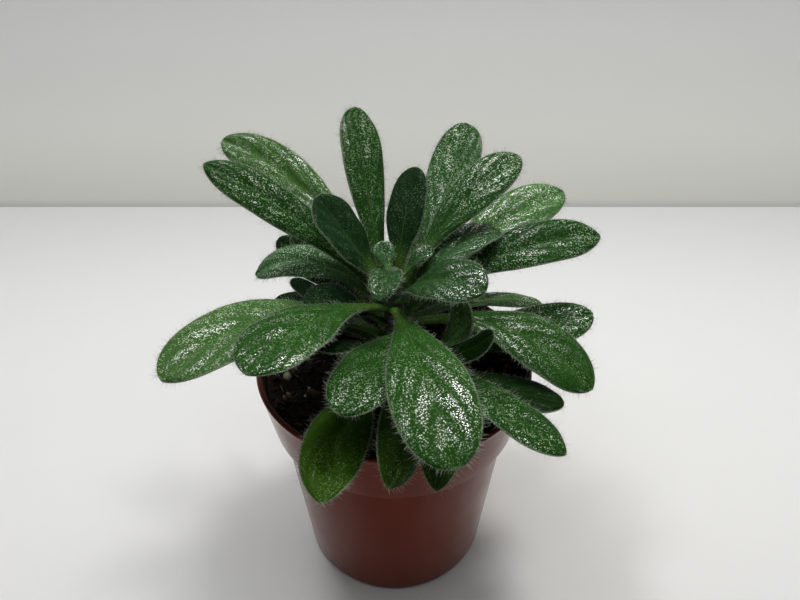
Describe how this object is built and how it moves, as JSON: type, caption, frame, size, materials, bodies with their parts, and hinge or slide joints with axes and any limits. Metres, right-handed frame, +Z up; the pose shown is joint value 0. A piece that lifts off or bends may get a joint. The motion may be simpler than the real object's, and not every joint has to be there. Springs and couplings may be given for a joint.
{
  "type": "potted plant",
  "caption": "Small primulina houseplant: a rosette of thick, blunt, velvety dark green leaves on a short stem, rooted in a round reddish-brown nursery pot",
  "frame": {"origin": "centre of the pot's base, on the surface it stands on", "axes": "+Z up along the pot's axis; -Y is the front, towards the viewer; +X to the viewer's right"},
  "size_m": [0.1096, 0.1109, 0.1254],
  "materials": {
    "pot_plastic": "semi-gloss moulded plastic, reddish brown, thin enough to glow a little",
    "potting_soil": "damp peat with perlite and bark",
    "stem_skin": "dull olive-brown skin with leaf scars",
    "leaf_crown": "velvety leaf skin with fine white hairs",
    "leaf_heart": "velvety leaf skin with fine white hairs",
    "leaf_inner": "velvety leaf skin with fine white hairs",
    "leaf_outer": "velvety leaf skin with fine white hairs",
    "leaf_lower": "velvety leaf skin with fine white hairs",
    "leaf_base": "velvety leaf skin with fine white hairs"
  },
  "bodies": {
    "root": {"leaf_back_left": "leaf_outer", "leaf_back_left_high": "leaf_outer", "leaf_back_left_low": "leaf_lower", "leaf_back_low_1": "leaf_lower", "leaf_back_low_2": "leaf_lower", "leaf_back_low_3": "leaf_lower", "leaf_back_low_4": "leaf_lower", "leaf_back_mid_1": "leaf_inner", "leaf_back_mid_2": "leaf_outer", "leaf_back_right": "leaf_outer", "leaf_back_right_high": "leaf_outer", "leaf_back_tall": "leaf_outer", "leaf_front_big": "leaf_outer", "leaf_front_left": "leaf_outer", "leaf_front_left_low": "leaf_base", "leaf_front_low": "leaf_base", "leaf_front_low_right": "leaf_base", "leaf_front_right": "leaf_heart", "leaf_front_small": "leaf_lower", "leaf_inner_back": "leaf_inner", "leaf_inner_left": "leaf_inner", "leaf_inner_right": "leaf_heart", "leaf_left_arched": "leaf_inner", "leaf_left_back": "leaf_lower", "leaf_left_mid": "leaf_inner", "leaf_left_outer": "leaf_outer", "leaf_left_under": "leaf_lower", "leaf_left_under_mid": "leaf_lower", "leaf_right": "leaf_outer", "leaf_right_back_edge": "leaf_lower", "leaf_right_back_low": "leaf_lower", "leaf_right_high": "leaf_outer", "leaf_right_low": "leaf_base", "leaf_right_lowest": "leaf_base", "leaf_right_outer": "leaf_lower", "leaf_right_under": "leaf_lower", "leaf_side_small": "leaf_base", "leaf_side_upright": "leaf_base", "leaf_young_back": "leaf_crown", "leaf_young_front": "leaf_crown", "leaf_young_right": "leaf_crown", "pot": "pot_plastic", "soil": "potting_soil", "stem": "stem_skin"}
  },
  "joints": []
}
